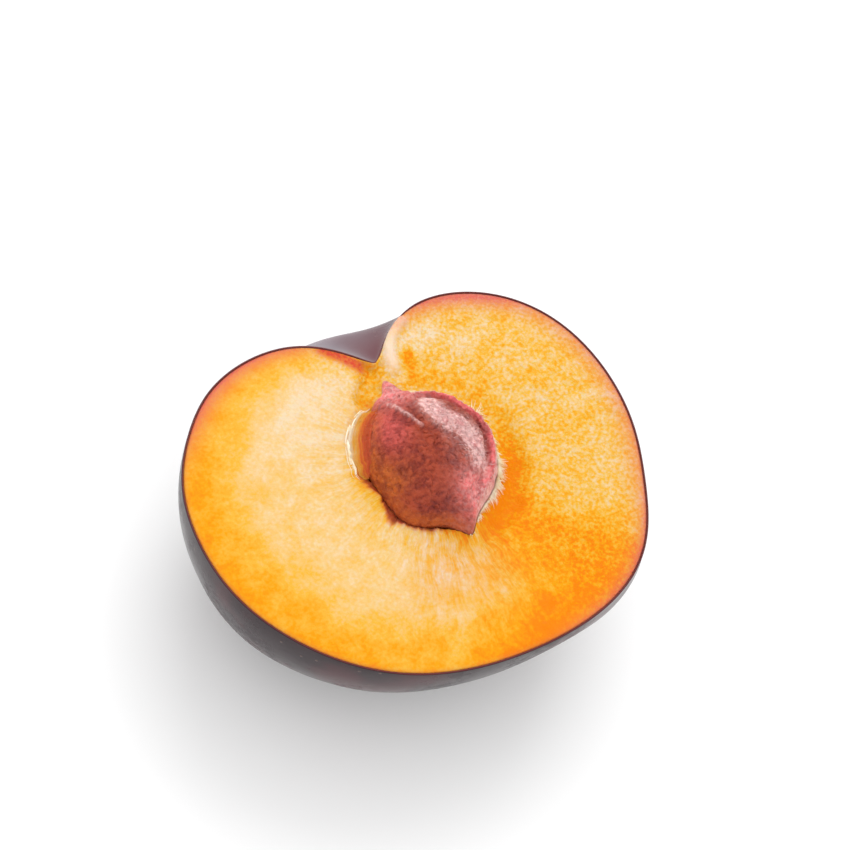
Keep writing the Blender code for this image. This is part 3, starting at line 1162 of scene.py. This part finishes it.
@dataclass
class Flesh(Shell):
    """The flesh: hollow for the stone, cut face with its low relief, and round back under the peel."""

    name: ClassVar[str] = "pulp"
    layer: ClassVar[Layer] = Layer.FLESH
    stone: StoneForm
    columns: int = 640
    hollow_rows: int = 14
    face_rows: int = 112
    back_rows: int = 24
    rim_inset: float = 0.23 * MM
    back_inset: float = 0.53 * MM
    lip_line: Line = (
        (6.9, 18.0), (5.8, 17.5), (4.5, 16.6), (3.6, 15.5), (3.0, 14.3), (2.6, 13.0), (2.3, 11.6),
    )
    channel_line: Line = ((0.8, 14.8), (-0.4, 12.4), (-2.0, 10.7), (-3.1, 9.4))
    red_line: Line = ((-4.7, 17.8), (-2.7, 15.6), (-1.5, 14.0))
    orange_line: Line = ((5.2, 13.2), (4.2, 9.9))
    lip_height: float = 0.55 * MM
    valley_depth: float = 0.85 * MM
    valley_out: float = 2.7 * MM
    valley_half_width: float = 1.7 * MM
    channel_depth: float = 0.9 * MM
    swell_height: float = 0.13 * MM
    ripple_height: float = 0.05 * MM
    crumb_height: float = 0.25 * MM
    edge_round: float = 0.16 * MM
    lip_round: float = 0.25 * MM
    ripe_on_way: tuple[Patch, ...] = (
        Patch(0.26, 12, 70, 0.12, 0.09),
        Patch(0.44, -42, 36, 0.10, 0.12),
        Patch(0.391, -66, 22),
        Patch(0.06, -93, 14),
        Patch(-0.20, 134, 28, 0.32, 0.30),
        Patch(0.30, 184, 30, 0.0, 0.07),
        Patch(0.5, -104, 9, 0.0, 0.08),
        Patch(-0.22, 62, 16, 0.58, 0.14),
    )
    blush_on_way: tuple[Patch, ...] = (Patch(0.62, 8, 58, 1.02, 0.13), Patch(0.18, -104, 24, 0.30, 0.30))
    blush_at_rim: tuple[Patch, ...] = (
        Patch(0.75, 54, 18, width=2.4 * MM),
        Patch(0.85, 130, 26, width=1.9 * MM),
        Patch(0.45, 0, math.inf, width=0.5 * MM),
        Patch(0.5, -58, 24, width=1.2 * MM),
    )
    blush_at_hollow: Patch = Patch(0.25, 126, 34, width=0.8 * MM)
    flush_at_rim: tuple[Patch, ...] = (
        Patch(0.4, 126, 24, width=0.6 * MM),
        Patch(0.35, 20, 80, width=0.22 * MM),
    )
    streak_on_way: tuple[Patch, ...] = (Patch(0.9, -98, 30, width=0.8), Patch(0.35, 30, 70))
    grain: Grain = field(default_factory=lambda: Grain(5))
    fine: Grain = field(default_factory=lambda: Grain(6))

    def lip(self, x: Array, y: Array) -> Array:
        """How much a point belongs to the swollen lip beside the notch."""
        return along_line(x, y, self.lip_line, 0.85, 3.0) * step_up(10.4 * MM, 12.6 * MM, y)

    def channel(self, x: Array, y: Array) -> Array:
        """How much a point belongs to the torn channel between the stone and the stem cavity."""
        return along_line(x, y, self.channel_line, 1.45, 3.0)

    def ring(self, turn: Array, slope: float) -> Array:
        """One row of the hollow, at a slope from 0 at its edge to a right angle at its bottom.

        Args:
            turn: Angles round the stone.
            slope: How far down the row lies.

        Returns:
            The row of points.
        """
        gentle = sector(turn, 142, 40)
        torn = np.maximum(self.stone.torn(turn), sector(turn, 122, 24))
        loose = torn * step_up(0.9, 0.5, slope)
        snug = self.stone.reach(turn) + self.stone.clearance * (1.0 - loose) - 0.1 * MM * loose
        close_in = mixed(step_up(0.15, 1.3, slope), step_up(0.0, 0.35, slope), gentle)
        close_in = mixed(close_in, step_up(-0.02, 0.07, slope), torn)
        reach = mixed(self.stone.edge(turn), snug, close_in) * math.cos(slope)
        depth = (self.stone.half_thickness + self.stone.clearance) * math.sin(slope)
        return self.stone.polar(turn, reach, -depth)

    def relief(self, point: Array, out: Array, left: Array, turn: Array) -> Array:
        """Height of the cut face over the plane of the cut.

        Args:
            point: Points in the plane.
            out: Distance of each from the edge of the hollow.
            left: Distance of each from the rim.
            turn: Angle of each round the face.

        Returns:
            The heights.
        """
        x, y = point[..., 0], point[..., 1]
        valley = bell(out - self.valley_out, self.valley_half_width) * sector(turn, -48, 58)
        channel, lip = self.channel(x, y), self.lip(x, y)
        east, north = np.cos(turn), np.sin(turn)
        strand = self.grain.layered(26.0 * east, 26.0 * north, out / (3.2 * MM), layers=3)
        lumps = self.fine.layered(x / (0.9 * MM), y / (0.9 * MM), layers=3)
        swell = self.grain.layered(x / (7.0 * MM), y / (7.0 * MM), 5.0, layers=2)
        near_stone = np.exp(-out / (4.0 * MM))
        coarse_side = 0.3 + 0.7 * step_up(-4.0 * MM, 6.0 * MM, x)
        height = self.lip_height * lip - self.valley_depth * valley - self.channel_depth * channel
        height += (0.04 + (0.06 + 0.10 * sector(turn, -95, 42)) * near_stone) * MM * strand
        height += (0.11 + 0.46 * channel) * MM * lumps * coarse_side + self.swell_height * swell
        ripple = np.cos(out / (0.16 * MM)) * bell(out - 0.7 * MM, 0.7 * MM) * sector(turn, 142, 42)
        height += self.ripple_height * ripple
        tight = self.stone.tight(turn)
        sunk_edge = (1.0 - 0.8 * self.stone.torn(turn)) * (1.0 - tight)
        height += (0.30 * tight - 0.25 * sunk_edge) * MM * np.exp(-out / (0.35 * MM))
        crumbs = self.fine.layered(x / (0.55 * MM), y / (0.55 * MM), 9.0, layers=2)
        height += self.crumb_height * crumbs * np.exp(-out / (0.6 * MM))
        settle = np.maximum(step_up(0.0, 1.0 * MM, left), lip)
        rounding = self.edge_round * np.exp(-left / (0.22 * MM))
        return height * settle - rounding - self.lip_round * lip * np.exp(-left / (0.3 * MM))

    def rows(self) -> Array:
        """All rows, from the bottom of the hollow over the face to the bottom of the back.

        Returns:
            The points by row and column.
        """
        turn = self.turns(self.columns, 0.40)
        lowest, crowding = 0.93, 0.6
        places = np.linspace(lowest ** crowding, 0.0, self.hollow_rows, endpoint=False) ** (1.0 / crowding)
        hollow = np.array([self.ring(turn, slope) for slope in RIGHT_ANGLE * places])
        edge = self.stone.polar(turn, self.stone.edge(turn), 0.0)
        level = np.zeros_like(turn)
        x, y, _ = self.form.outside(turn, level).T
        rim = self.form.inset(turn, level, self.rim_inset * (1.0 - self.lip(x, y)))
        share = np.linspace(0.0, 1.0, self.face_rows) ** 1.12
        face = mixed(edge[None], rim[None], share[:, None, None])
        out = np.linalg.norm(face - edge[None], axis=-1)
        left = np.linalg.norm(face - rim[None], axis=-1)
        face[..., 2] = self.relief(face, out, left, np.broadcast_to(turn, out.shape))
        hollow[..., 2] += face[0, :, 2] * (1.0 - places)[:, None] ** 3
        falls = [0.03, *self.falls(np.linspace(0.0, 1.0, self.back_rows + 1)[1:], 1.1)]
        back = [self.form.inset(turn, np.full_like(turn, fall), self.back_inset) for fall in falls]
        return np.concatenate([hollow, face, np.array(back)])

    def masks(self, points: Array) -> dict[str, Array]:
        """Where the flesh is ripe, streaked, blushed, flushed or coarse, where painted shadow darkens the
        hollow's torn edge, and where a painted highlight lights the lip, for each point.

        Args:
            points: Points of the piece, in the frame of the cut.

        Returns:
            The masks by name.
        """
        x, y, z = points.T
        turn, away = self.stone.bearings(points)
        out = away - self.stone.edge(turn)
        bearing = np.arctan2(y, x)
        rim = self.form.outside(bearing, np.zeros_like(bearing))
        left = np.hypot(rim[:, 0], rim[:, 1]) - np.hypot(x, y)
        share = np.clip(out / np.maximum(out + left, 1e-6), 0.0, 1.0)
        lip, channel, torn = self.lip(x, y), self.channel(x, y), self.stone.torn(turn)
        ripe = mixed(0.40, 0.25 + 0.52 * step_up(0.45, 1.0, share), sector(turn, 178, 88))
        ripe += total(self.ripe_on_way, turn, share)
        ripe += 0.161 * sector(turn, -66, 22) * step_up(0.5, 1.0, share)
        ripe += 0.34 * sector(turn, -93, 14) * step_up(0.5, 0.9, share)
        ripe = mixed(mixed(ripe, 0.66, channel), 0.88, along_line(x, y, self.orange_line, 0.9))
        blush = total(self.blush_on_way, turn, share) + total(self.blush_at_rim, turn, left)
        blush += self.blush_at_hollow.at(turn, out)
        flush = along_line(x, y, self.red_line, 0.9, 2.5) + total(self.flush_at_rim, turn, left)
        near = np.exp(-np.maximum(out, 0.0) / (5.0 * MM))
        streak = 0.7 * near * sector(turn, 175, 75) + total(self.streak_on_way, turn, share)
        in_hollow = step_up(0.1 * MM, -0.3 * MM, out)
        inside = step_up(-0.2 * MM, -1.4 * MM, z) * in_hollow
        coarse = mixed(0.35, 1.0, step_up(-6.0 * MM, 6.0 * MM, x + 0.35 * y)) + 0.9 * channel
        bent = turn + 0.035 * self.grain.layered(x / (2.4 * MM), y / (2.4 * MM), 2.0, layers=2)
        beside = 1.0 - np.clip(lip, 0.0, 1.0)
        masks = {
            "ripe": np.maximum(ripe * mixed(0.25, 1.0, beside), 0.9 * inside),
            "streak": streak * beside,
            "blush": blush * mixed(0.45, 1.0, beside) + (0.12 + 0.3 * step_up(15.5 * MM, 18.0 * MM, y)) * lip,
            "flush": flush * beside + torn * (0.6 * in_hollow + 0.45 * bell(out, 0.30 * MM)),
            # The dark brown band just inside the hollow's torn edge is painted shadow.
            "hollow_shade": torn * step_up(0.05 * MM, -0.30 * MM, out) * (1.0 - 0.5 * sector(turn, 244, 20)),
            "coarse": coarse * mixed(0.4, 1.0, beside),
            # The pale cream along the lip is a painted highlight.
            "painted_highlight": 0.95 * lip * bell(y - 14.8 * MM, 2.3 * MM),
        }
        clipped = {name: np.clip(values, 0.0, 1.0) for name, values in masks.items()}
        return clipped | {"fibre": np.stack([20.0 * np.cos(bent), 20.0 * np.sin(bent), out / (3.4 * MM)], -1)}


@dataclass
class Stone(Shell):
    """The stone: domed top with its keel, veins and pits, and plain underside; its first vein carries a
    painted highlight.
    """

    name: ClassVar[str] = "pit"
    layer: ClassVar[Layer] = Layer.STONE
    stone: StoneForm
    columns: int = 320
    top_rows: int = 84
    under_rows: int = 18
    rib_height: float = 0.42
    vein_height: float = 0.75
    lump_height: float = 0.20
    pit_depth: float = 0.22
    keel_bands: tuple[Triple, ...] = (
        (0.60, 0.90, 0.065), (-0.80, 0.77, 0.055), (0.25, 0.68, 0.045), (-0.25, 0.60, 0.04),
    )
    veins: tuple[tuple[Line, float], ...] = (
        (((-2.6, 7.2), (-1.9, 4.6), (-1.3, 2.3)), 0.30),
        (((-0.4, 8.2), (3.2, 4.2)), 0.32),
        (((-0.6, 8.0), (-3.6, 5.2), (-5.0, 2.2)), 0.22),
        (((-0.2, 8.6), (1.2, 5.6)), 0.22),
        (((0.6, -9.2), (2.0, -5.9)), 0.28),
        (((0.8, -9.2), (3.6, -7.0)), 0.26),
        (((0.2, -9.2), (0.2, -6.6)), 0.22),
        (((1.4, -8.4), (4.4, -5.0)), 0.24),
        (((-0.1, -8.8), (-1.8, -6.2)), 0.18),
    )
    grain: Grain = field(default_factory=lambda: Grain(8))
    fine: Grain = field(default_factory=lambda: Grain(9))

    def keel_side(self, turn: Array) -> Array:
        """1 along the keeled side, from the nub to the tip, 0 on the other."""
        return sector(turn, -2, 78, 6.0)

    def height(self, place: Array, turn: Array, x: Array, y: Array) -> Array:
        """Height over the cut at places between the middle, 0, and the outline, 1.

        Args:
            place: Place between middle and outline.
            turn: Angle round the stone.
            x: Distance from the middle along X.
            y: Distance from the middle along Y.

        Returns:
            The heights.
        """
        side = self.keel_side(turn)
        nub = sector(turn, 90, 10, 2.0) * step_up(0.60, 0.85, place)
        height = self.stone.half_thickness / MM * (1.0 - place ** self.stone.crown) ** self.stone.fullness
        height *= 1.0 - 0.6 * nub
        for rise, middle, width in self.keel_bands:
            height += side * rise * bell(place - middle, width)
        ribs = self.fine.layered(34.0 * np.cos(turn), 34.0 * np.sin(turn), place * 3.0, layers=2)
        height += self.rib_height * ribs * side * bell(place - 0.86, 0.15, 4.0)
        for corners, rise in self.veins:
            height += self.vein_height * rise * along_line(x, y, corners, 0.20)
        lumps = self.grain.layered(x / (1.7 * MM), y / (1.7 * MM), height / 1.7, layers=4)
        pits = np.abs(self.fine.layered(x / (0.75 * MM), y / (0.75 * MM), height / 0.75, layers=2))
        taper = step_up(1.0, 0.93, place)
        return (height + taper * (self.lump_height * lumps - self.pit_depth * bell(pits, 0.16))) * MM

    def outline(self, turn: Array) -> Array:
        """Distance to the outline, slightly rough along the keel.

        Args:
            turn: Angle round the stone.

        Returns:
            The distance at each angle.
        """
        rough = self.fine.layered(14.0 * np.cos(turn), 14.0 * np.sin(turn), 3.0, layers=2)
        nub = 0.45 * MM * sector(turn, 99, 9, 2.0)
        return self.stone.reach(turn) + nub - 0.14 * MM * (1.0 + rough) * self.keel_side(turn)

    def rows(self) -> Array:
        """All rows, from the middle of the top over the outline to the middle of the underside.

        Returns:
            The points by row and column.
        """
        turn = np.linspace(0.0, math.tau, self.columns + 1)
        reach = self.outline(turn)
        made = []
        for slope in RIGHT_ANGLE * np.linspace(0.02, 1.0, self.top_rows):
            place = np.full_like(turn, math.sin(slope))
            away = reach * place
            height = self.height(place, turn, away * np.cos(turn), away * np.sin(turn))
            made.append(self.stone.polar(turn, away, height))
        for slope in RIGHT_ANGLE * np.linspace(0.0, 0.96, self.under_rows + 1)[1:]:
            depth = self.stone.half_thickness * math.sin(slope)
            made.append(self.stone.polar(turn, reach * math.cos(slope), -depth))
        return np.array(made)

    def masks(self, points: Array) -> dict[str, Array]:
        """Where the stone is pink or amber, and where it is pale with fuzz and a painted sheen.

        Args:
            points: Points of the piece, in the frame of the cut.

        Returns:
            The masks by name.
        """
        x, y, _ = (points - (self.stone.x, self.stone.y, 0.0)).T / MM
        turn = np.arctan2(y, x)
        place = np.hypot(x, y) / (self.outline(turn) / MM)
        side = self.keel_side(turn)
        keel = side * step_up(0.76, 0.86, place)
        nub = bell(np.hypot(x + 0.4, y - 9.4), 3.0, 2.5)
        left = bell(np.hypot((x + 4.8) / 2.4, (y - 4.4) / 3.6), 1.0, 3.0)
        near_tip = bell(np.hypot(x - 2.0, y + 7.8), 2.9, 2.5)
        amber = bell(np.hypot(x + 7.3, y + 2.3), 1.9)
        amber += 0.8 * sector(turn, 236, 30) * step_up(0.88, 0.98, place)
        amber += 1.1 * sector(turn, 156, 36) * step_up(0.72, 0.95, place)
        # Pale mask: the fuzz's colour, and painted sheen and highlights along the shoulder arc, the first
        # vein and the keel's edge.
        arc = along_line(x * MM, y * MM, self.stone.pale_arc, 1.15) * mixed(0.5, 1.0, step_up(-4.5, 0.5, y))
        vein = along_line(x * MM, y * MM, self.veins[0][0], 0.22)
        fuzz_and_sheen = 2.1 * arc + 0.5 * vein + 1.15 * side * step_up(0.89, 0.97, place)
        fuzz_and_sheen += 0.10 * sector(turn, -20, 80) + 0.38 * nub + 0.25 * near_tip
        return {
            "pinkness": np.clip(0.95 * keel + 1.0 * nub + 0.46 * left + 1.0 * near_tip, 0.0, 1.0),
            "amber": np.clip(0.7 * amber, 0.0, 1.0),
            "fuzz_and_sheen": np.clip(0.95 * fuzz_and_sheen, 0.0, 1.0),
        }


@dataclass
class Membrane(Shell):
    """Thin flesh that still clings to the stone's left shoulder, from the flesh to the stone."""

    name: ClassVar[str] = "membrane"
    layer: ClassVar[Layer] = Layer.FLESH
    stands_in: ClassVar[bool] = False
    stone: StoneForm
    pulp: Object
    pit: Object
    start: float = math.radians(106)
    end: float = math.radians(178)
    steps: int = 150
    across: int = 29
    thickness: float = 1.0 * MM
    grain: Grain = field(default_factory=lambda: Grain(21))

    def top(self, over: Object, turn: Array, reach: Array) -> Array:
        """Height of a piece's top over the cut, along a line round the stone, as a column."""
        places = self.form.to_part(self.stone.polar(turn, reach, 0.0))[:, :2]
        return (Modeller.surface(over, places) - self.form.face_height)[:, None]

    def rows(self) -> Array:
        """Closed cross-sections along the edge of the hollow.

        Returns:
            The points by section and by place round it.
        """
        turn = np.linspace(self.start, self.end, self.steps)
        share = np.linspace(0.0, 1.0, self.across)[None]
        fullness = np.sqrt(np.clip(np.sin(math.pi * np.linspace(0.03, 0.97, self.steps)) * 1.6, 0.0, 1.0))
        wander = 0.25 * MM * self.grain.layered(turn * 9.0, 0.0 * turn, layers=2)
        outer = self.stone.edge(turn) + 0.18 * MM + wander
        inner = self.stone.reach(turn) * 0.925 - 0.5 * wander
        centre = 0.5 * (outer + inner)
        outer, inner = mixed(centre, outer, fullness), mixed(centre, inner, fullness)
        top_out = self.top(self.pulp, turn, self.stone.edge(turn) + 0.75 * MM) - 0.02 * MM
        top_in = self.top(self.pit, turn, inner) + 0.03 * MM
        reach = mixed(outer[:, None], inner[:, None], share)
        height = mixed(top_out, top_in, share ** 1.5)
        lines = self.grain.layered(turn[:, None] * 4.0, share * 5.0, 2.0, layers=2)
        ridges = np.cos(math.tau * (6.5 * share + 0.6 * lines))
        low_end = step_up(0.62, 1.0, np.linspace(0.0, 1.0, self.steps))[:, None]
        over = height + (0.10 + 0.07 * ridges) * MM * np.sin(math.pi * share) ** 0.5 - 0.35 * MM * low_end
        upper = self.stone.polar(turn[:, None], reach, over)
        lower = self.stone.polar(turn[:, None], reach, height - (self.thickness * fullness)[:, None])
        return np.concatenate([upper, lower[:, ::-1], upper[:, :1]], axis=1)

    def masks(self, points: Array) -> dict[str, Array]:
        """The flesh's masks: a painted highlight on the outer edge, then ripe and blushed in bands towards
        the stone, with painted shade where it meets the stone.

        Args:
            points: Points of the piece, in the frame of the cut.

        Returns:
            The masks by name.
        """
        turn, reach = self.stone.bearings(points)
        inward = np.clip((self.stone.edge(turn) + 0.2 * MM - reach) / (2.0 * MM), 0.0, 1.0)
        bands = 0.5 + 0.5 * self.grain.layered(turn * 1.5, inward * 11.0, 4.0, layers=2)
        return {
            "ripe": np.clip(0.25 + 1.3 * inward * (0.5 + 0.7 * bands), 0.0, 1.0),
            "blush": np.clip(0.18 + 0.60 * bands * inward, 0.0, 1.0),
            "flush": np.clip(2.4 * (inward - 0.32), 0.0, 0.9) * (0.45 + 0.55 * bands),
            # The dark brown band nearest the stone is painted shade where the membrane meets the stone.
            "hollow_shade": np.clip(1.6 * (inward - 0.45), 0.0, 0.7) * (0.6 + 0.4 * bands),
            # The pale outer edge of the membrane is a painted highlight.
            "painted_highlight": np.clip(1.15 - 6.5 * inward, 0.0, 1.0) * (0.7 + 0.3 * bands),
            "coarse": np.zeros_like(turn),
            "streak": np.full_like(turn, 0.8),
            "fibre": np.stack([22.0 * inward, 4.0 * turn, 30.0 * inward], -1),
        }


@dataclass
class Fibres:
    """Torn fibres: a pale fringe along the stone, loose ones on the face and fuzz on the stone."""

    form: FruitForm
    stone: StoneForm
    face: Object
    pit: Object
    steps: int = 6
    tuft_odds: Line = ((-32, 0.28), (-48, 0.24), (-78, 0.14), (2, 0.14), (24, 0.12), (52, 0.08))
    tuft_lengths: tuple[Patch, ...] = (Patch(0.90, -38, 28), Patch(1.3, 22, 6), Patch(0.35, -80, 10))
    draw: np.random.Generator = field(default_factory=lambda: np.random.default_rng(31))

    def share(self) -> Array:
        """Place along a fibre at each step, from 0 at the root to 1 at the tip."""
        return np.linspace(0.0, 1.0, self.steps)

    def turned(self, low: float, high: float, count: int) -> Array:
        """Draws bearings between two angles in degrees."""
        return self.draw.uniform(math.radians(low), math.radians(high), count)

    def straight(self, start: Array, heading: Array, length: Array, bend: float) -> Array:
        """Paths that leave their starts along a heading and bend a little.

        Args:
            start: X and y of each start.
            heading: Heading of each fibre, as an angle.
            length: Length of each fibre.
            bend: Largest change of heading, as an angle.

        Returns:
            X and y by fibre and by step.
        """
        curl = self.draw.uniform(-bend, bend, len(heading))
        angle = heading[:, None] + curl[:, None] * self.share()
        step = np.stack([np.cos(angle), np.sin(angle)], -1) * (length / (self.steps - 1.0))[:, None, None]
        return start[:, None] + np.cumsum(step, axis=1) - step[:, :1]

    def lay(
        self, name: str, over: Object, places: Array, lift: Array, widths: tuple[float, float],
    ) -> Object:
        """Lays fibres on a piece and makes one piece of them, each fading towards its tip.

        Args:
            name: Name of the new piece.
            over: The piece that they lie on.
            places: X and y by fibre and by step, in the frame of the cut.
            lift: Height over the piece, by fibre and by step, in millimetres.
            widths: Least and greatest half width of a root, in millimetres.

        Returns:
            The new piece.
        """
        flat = places + self.form.to_part(np.zeros(3))[:2]
        paths = np.concatenate([flat, (Modeller.surface(over, flat) + lift * MM)[..., None]], -1)
        roots = self.draw.uniform(*widths, len(places))[:, None] * MM
        return Modeller.bundle(name, paths, roots * (1.0 - 0.85 * self.share() ** 1.5))

    def fringe(self, material: Material) -> Object:
        """Pale fibres that stand against the stone's right side, from the nub to the tip.

        Args:
            material: Their material.

        Returns:
            The piece.
        """
        tufts, each, lining = 74, 8, 180
        centres, odds = zip(*self.tuft_odds)
        middle = np.radians(self.draw.choice(centres, tufts, p=odds)) + self.draw.normal(0.0, 0.15, tufts)
        long = (0.50 + total(self.tuft_lengths, middle)) * self.draw.uniform(0.55, 1.35, tufts)
        lean = middle + self.draw.normal(-0.12, 0.40, tufts)
        turn = np.repeat(middle, each) + self.draw.normal(0.0, 0.022, tufts * each)
        heading = np.repeat(lean, each) + self.draw.normal(0.0, 0.36, tufts * each)
        length = np.repeat(long, each) * self.draw.uniform(0.45, 1.10, tufts * each) * MM
        start = self.stone.polar(turn, self.stone.reach(turn) - 0.12 * MM, 0.0)[:, :2]
        tuft = self.straight(start, heading, length, 0.7)
        turn = self.turned(-88, 78, lining)
        reach = self.stone.reach(turn) + self.draw.uniform(-0.10, 0.20, lining) * MM
        heading = turn - RIGHT_ANGLE + self.draw.normal(0.0, 0.20, lining)
        length = self.draw.uniform(0.7, 1.8, lining) * MM
        beside = self.straight(self.stone.polar(turn, reach, 0.0)[:, :2], heading, length, 0.25)
        rise = [self.draw.uniform(0.05, 0.42, tufts * each), self.draw.uniform(0.0, 0.12, lining)]
        lift = np.concatenate(rise)[:, None] * np.sin(math.pi * (0.15 + 0.75 * self.share()))
        piece = self.lay("fringe", self.face, np.concatenate([tuft, beside]), lift, (0.026, 0.062))
        Modeller.hand_in(piece, Layer.FLESH, material)
        return piece

    def loose(self, material: Material) -> Object:
        """Pale fibres that curl along the hollow's left edge.

        Args:
            material: Their material.

        Returns:
            The piece.
        """
        count = 70
        along = self.turned(110, 158, count)[:, None]
        along = along + self.share() * self.draw.uniform(0.10, 0.42, count)[:, None]
        reach = self.stone.edge(along) + (self.draw.uniform(0.0, 0.85, count) ** 1.5 - 0.05)[:, None] * MM
        places = self.stone.polar(along, reach, 0.0)[..., :2]
        lift = np.full((count, self.steps), 0.02)
        piece = self.lay("loose_fibres", self.face, places, lift, (0.035, 0.080))
        Modeller.hand_in(piece, Layer.FLESH, material)
        return piece

    def fuzz(self, material: Material) -> Object:
        """Short pale hairs on the stone's upper right shoulder and along its keel.

        Args:
            material: Their material.

        Returns:
            The piece.
        """
        shoulder, keel = 760, 420
        corners = np.array(self.stone.pale_arc) * MM
        along, numbers = self.draw.uniform(0.0, len(corners) - 1.0, shoulder), np.arange(len(corners))
        spots = np.stack([np.interp(along, numbers, column) for column in corners.T], -1)
        spots += self.draw.normal(0.0, 0.75 * MM, (shoulder, 2))
        turn = self.turned(-84, 84, keel)
        reach = self.stone.reach(turn) * self.draw.uniform(0.86, 0.985, keel)
        edge = np.stack([reach * np.cos(turn), reach * np.sin(turn)], -1)
        start = np.concatenate([spots, edge]) + (self.stone.x, self.stone.y)
        count = shoulder + keel
        leaning = np.concatenate([np.full(shoulder, math.radians(-50)), turn])
        heading = self.draw.uniform(-0.9, 0.9, count) + leaning
        places = self.straight(start, heading, self.draw.uniform(0.25, 0.65, count) * MM, 0.8)
        lift = self.draw.uniform(0.02, 0.16, count)[:, None] * np.sin(math.pi * self.share())
        piece = self.lay("stone_fuzz", self.pit, places, lift, (0.020, 0.042))
        Modeller.hand_in(piece, Layer.STONE, material)
        return piece


@dataclass(frozen=True)
class Lamp:
    """A soft square light that faces the fruit, in metres and watts."""

    name: str
    toward: Triple
    distance: float
    power: float
    size: float = 0.40
    aim: Triple = (0.0, 0.0, 0.02)

    def build(self) -> None:
        """Adds the light to the scene."""
        data = bpy.data.lights.new(self.name, "AREA")
        data.shape = "SQUARE"
        data.size = self.size
        data.energy = self.power
        lamp = bpy.data.objects.new(self.name, data)
        bpy.context.scene.collection.objects.link(lamp)
        direction = Vector(self.toward).normalized()
        lamp.location = direction * self.distance + Vector(self.aim)
        lamp.rotation_euler = direction.to_track_quat("Z", "Y").to_euler()


@dataclass
class Studio:
    """Plain pale floor, soft lights and the camera at the photograph's viewing angle."""

    form: FruitForm
    lens: float = 97.25
    right: Triple = (0.8399, -0.4843, 0.2451)
    up: Triple = (0.3171, 0.8043, 0.5026)
    back: Triple = (-0.4406, -0.3444, 0.8290)
    place: Triple = (-122.2 * MM, -93.7 * MM, 233.9 * MM)
    surroundings: float = 1.10
    floor_shade: Colour = (0.94, 0.94, 0.94)
    floor_size: float = 3.0
    floor_gap: float = 0.02 * MM
    lamps: tuple[Lamp, ...] = (
        Lamp("high light", (0.45, 0.60, 0.95), 0.55, 1.0),
        Lamp("left light", (-0.95, 0.15, 0.55), 0.60, 0.3),
    )

    def build(self) -> None:
        """Sets up the whole studio."""
        self.camera()
        self.floor()
        self.lights()

    def camera(self) -> None:
        """Makes the camera."""
        data = bpy.data.cameras.new("camera")
        data.lens = self.lens
        data.clip_start = 0.01
        camera = bpy.data.objects.new("camera", data)
        bpy.context.scene.collection.objects.link(camera)
        spot = self.form.to_part(np.array(self.place))
        axes = Matrix((self.right, self.up, self.back)).transposed()
        camera.matrix_world = Matrix.Translation(Vector(spot)) @ axes.to_4x4()
        bpy.context.scene.camera = camera

    def floor(self) -> None:
        """Makes the floor, a large plain sheet."""
        Modeller.deselect()
        bpy.ops.mesh.primitive_plane_add(size=self.floor_size, location=(0.0, 0.0, -self.floor_gap))
        floor = bpy.context.object
        floor.name = "floor"
        bpy.ops.object.transform_apply(location=True)
        finish = Finish("pale floor", Gloss(0.55))
        finish.colour(self.floor_shade)
        floor.data.materials.append(finish.material)

    def lights(self) -> None:
        """Adds the soft lights and the white surroundings."""
        world = bpy.data.worlds.new("surroundings")
        world.use_nodes = True
        background = world.node_tree.nodes["Background"]
        background.inputs["Color"].default_value = (1.0, 1.0, 1.0, 1.0)
        background.inputs["Strength"].default_value = self.surroundings
        bpy.context.scene.world = world
        bpy.context.scene.view_settings.view_transform = "Standard"
        for lamp in self.lamps:
            lamp.build()


def main() -> None:
    """Builds the fruit in order."""
    logging.basicConfig(level=logging.INFO, format="%(name)s %(message)s")
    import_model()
    form = FruitForm(face_height=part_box(Layer.PEEL.value)[1].z)
    mottle = grain_group("mottle", (4.0, 3.0), 0.20)
    fibres = grain_group("fibres", (2.0, 2.0), 0.17)
    Studio(form).build()
    Peel(form).build(PeelFinish().build(mottle))
    stone = StoneForm()
    flesh_look = FleshFinish().build(mottle, fibres)
    pulp = Flesh(form, stone).build(flesh_look)
    pit = Stone(form, stone).build(StoneFinish().build(mottle))
    Membrane(form, stone, pulp, pit).build(flesh_look)
    strands = Fibres(form, stone, pulp, pit)
    pale_look = StrandFinish("pale torn fibre", (0.96, 0.88, 0.70), (0.90, 0.70, 0.40)).build()
    strands.fringe(pale_look)
    strands.loose(pale_look)
    strands.fuzz(StrandFinish("stone hair", (0.80, 0.54, 0.52), (0.68, 0.26, 0.26)).build())


if __name__ == "__main__":
    main()
